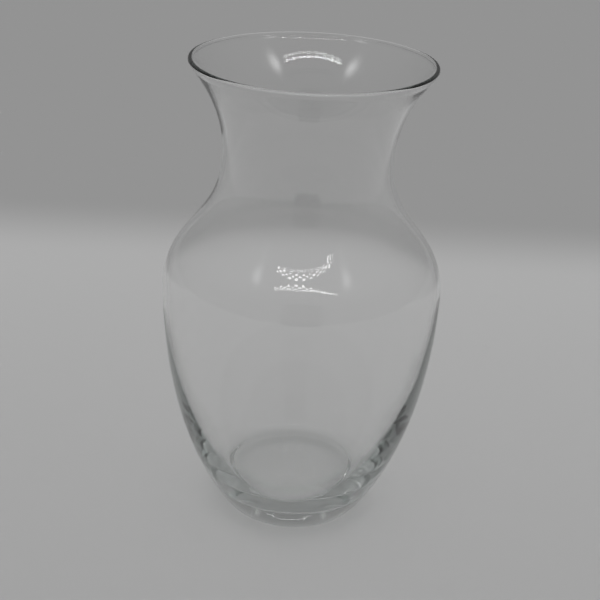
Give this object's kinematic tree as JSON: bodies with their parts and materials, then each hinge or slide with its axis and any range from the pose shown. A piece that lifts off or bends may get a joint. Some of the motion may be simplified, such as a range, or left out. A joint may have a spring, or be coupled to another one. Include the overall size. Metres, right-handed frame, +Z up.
{
  "type": "flower vase",
  "caption": "Flared clear glass vase with a tapering belly, a drawn-in neck, a wide round mouth and a thick base, for holding cut flowers in water.",
  "frame": {"origin": "centre of the foot, on the surface that the vase stands on", "axes": "+Z up along the vase's axis of turning, towards the mouth; X and Y are alike"},
  "size_m": [0.134, 0.134, 0.229],
  "materials": {
    "clear_glass": "fire-polished, clear, faintly green where thick"
  },
  "bodies": {
    "root": {"glass_vase": "clear_glass"}
  },
  "joints": []
}
